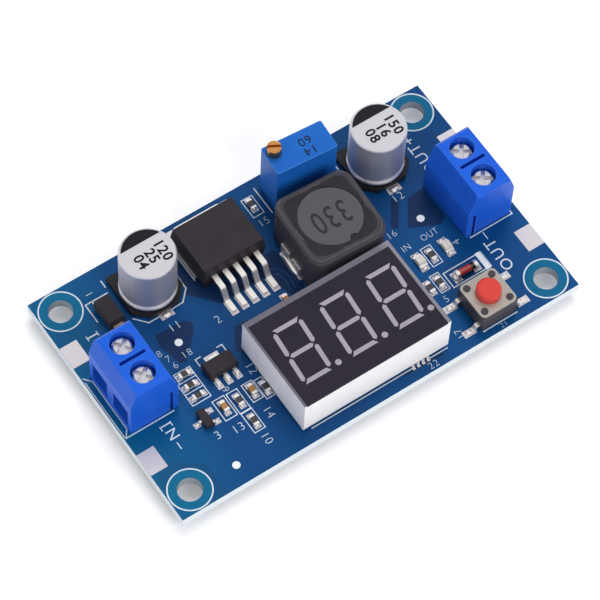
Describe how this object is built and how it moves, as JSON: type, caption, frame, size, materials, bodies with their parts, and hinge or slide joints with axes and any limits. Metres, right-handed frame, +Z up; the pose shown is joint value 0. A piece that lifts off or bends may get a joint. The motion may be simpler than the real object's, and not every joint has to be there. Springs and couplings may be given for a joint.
{
  "type": "buck converter module",
  "caption": "Step-down power module: blue board with screw terminals at both ends, shielded inductor, capacitors, trimmer, digit display and a push button.",
  "frame": {"origin": "centre of the four mounting holes, on the underside of the board", "axes": "+X along the board from the input terminal to the output terminal, +Y towards the edge with the capacitors and the trimmer, +Z up out of the component side"},
  "size_m": [0.065, 0.0386, 0.0145],
  "materials": {
    "blue_laminate": "satin solder mask",
    "tin": "tinned",
    "blue_plastic": "moulded, satin",
    "contact_brass": "bright",
    "zinc_steel": "zinc plated",
    "can_aluminium": "drawn, satin",
    "black_plastic": "moulded",
    "ferrite": "ground, matt",
    "copper_wire": "enamelled copper",
    "dark_glue": "epoxy",
    "azure_plastic": "moulded, satin",
    "screw_brass": "turned",
    "seal_rubber": "matt",
    "white_plastic": "moulded, satin",
    "potting_resin": "cast resin",
    "violet_black_face": "printed, satin",
    "milky_lens": "diffusing resin",
    "cover_steel": "nickel plated",
    "red_plastic": "moulded",
    "copper_lead": "dull plated copper",
    "red_glass": "clear glass over a red sleeve",
    "lamp_resin": "milky resin",
    "black_ceramic": "glazed film on ceramic",
    "tan_ceramic": "fired"
  },
  "bodies": {
    "board": {"circuit_board": "blue_laminate", "board_pads": "tin", "solder_joints": "tin", "in_terminal_housing": "blue_plastic", "out_terminal_housing": "blue_plastic", "in_plus_contact": "contact_brass", "in_minus_contact": "contact_brass", "out_plus_contact": "contact_brass", "out_minus_contact": "contact_brass", "input_capacitor_can": "can_aluminium", "input_capacitor_base": "black_plastic", "input_capacitor_leads": "tin", "output_capacitor_can": "can_aluminium", "output_capacitor_base": "black_plastic", "output_capacitor_leads": "tin", "regulator_body": "black_plastic", "regulator_tab": "tin", "regulator_leads": "tin", "inductor_shield": "ferrite", "inductor_core": "ferrite", "inductor_winding": "copper_wire", "inductor_glue": "dark_glue", "inductor_terminals": "tin", "trimmer_housing": "azure_plastic", "trimmer_seal": "seal_rubber", "trimmer_pins": "tin", "display_case": "white_plastic", "display_potting": "potting_resin", "display_face": "violet_black_face", "display_segments": "milky_lens", "display_pins": "tin", "button_base": "black_plastic", "button_cover": "cover_steel", "button_dome": "cover_steel", "button_legs": "tin", "power_diode_body": "black_plastic", "power_diode_leads": "copper_lead", "glass_diode_tube": "red_glass", "glass_diode_caps": "tin", "indicator_lamps": "lamp_resin", "indicator_lamp_ends": "tin", "small_chip_bodies": "black_plastic", "small_chip_leads": "tin", "controller_body": "black_plastic", "controller_leads": "tin", "chip_resistor_bodies": "black_ceramic", "chip_resistor_ends": "tin", "chip_capacitor_bodies": "tan_ceramic", "chip_capacitor_ends": "tin"},
    "in_plus_cage": {"in_plus_cage": "zinc_steel"},
    "in_plus_screw": {"in_plus_screw": "zinc_steel"},
    "in_minus_cage": {"in_minus_cage": "zinc_steel"},
    "in_minus_screw": {"in_minus_screw": "zinc_steel"},
    "out_plus_cage": {"out_plus_cage": "zinc_steel"},
    "out_plus_screw": {"out_plus_screw": "zinc_steel"},
    "out_minus_cage": {"out_minus_cage": "zinc_steel"},
    "out_minus_screw": {"out_minus_screw": "zinc_steel"},
    "trimmer_screw": {"trimmer_screw": "screw_brass"},
    "button_plunger": {"button_plunger": "red_plastic"}
  },
  "joints": [
    {"name": "in_plus_screw_turn", "type": "hinge", "parent": "board", "child": "in_plus_screw", "pos_m": [-0.02761, 0.00284, 0.0096], "axis": [0, 0, -1], "range_deg": [0, 1555]},
    {"name": "in_plus_cage_lift", "type": "slide", "parent": "board", "child": "in_plus_cage", "axis": [0, 0, 1], "range_m": [0, 0.00194]},
    {"name": "in_minus_screw_turn", "type": "hinge", "parent": "board", "child": "in_minus_screw", "pos_m": [-0.02761, -0.00224, 0.0096], "axis": [0, 0, -1], "range_deg": [0, 1555]},
    {"name": "in_minus_cage_lift", "type": "slide", "parent": "board", "child": "in_minus_cage", "axis": [0, 0, 1], "range_m": [0, 0.00194]},
    {"name": "out_plus_screw_turn", "type": "hinge", "parent": "board", "child": "out_plus_screw", "pos_m": [0.02761, 0.00284, 0.0096], "axis": [0, 0, -1], "range_deg": [0, 1555]},
    {"name": "out_plus_cage_lift", "type": "slide", "parent": "board", "child": "out_plus_cage", "axis": [0, 0, 1], "range_m": [0, 0.00194]},
    {"name": "out_minus_screw_turn", "type": "hinge", "parent": "board", "child": "out_minus_screw", "pos_m": [0.02761, -0.00224, 0.0096], "axis": [0, 0, -1], "range_deg": [0, 1555]},
    {"name": "out_minus_cage_lift", "type": "slide", "parent": "board", "child": "out_minus_cage", "axis": [0, 0, 1], "range_m": [0, 0.00194]},
    {"name": "trimmer_screw_turn", "type": "hinge", "parent": "board", "child": "trimmer_screw", "pos_m": [0.00568, 0.01633, 0.0116], "axis": [0, 0, -1], "continuous": true},
    {"name": "button_press", "type": "slide", "parent": "board", "child": "button_plunger", "axis": [0, 0, -1], "range_m": [0, 0.00025], "stiffness_N_per_m": 400, "deforming": ["button_dome"]}
  ],
  "couplings": [
    {"joint": "in_plus_screw_turn", "follows": "in_plus_cage_lift", "rad_per_m": 13963},
    {"joint": "in_minus_screw_turn", "follows": "in_minus_cage_lift", "rad_per_m": 13963},
    {"joint": "out_plus_screw_turn", "follows": "out_plus_cage_lift", "rad_per_m": 13963},
    {"joint": "out_minus_screw_turn", "follows": "out_minus_cage_lift", "rad_per_m": 13963}
  ]
}
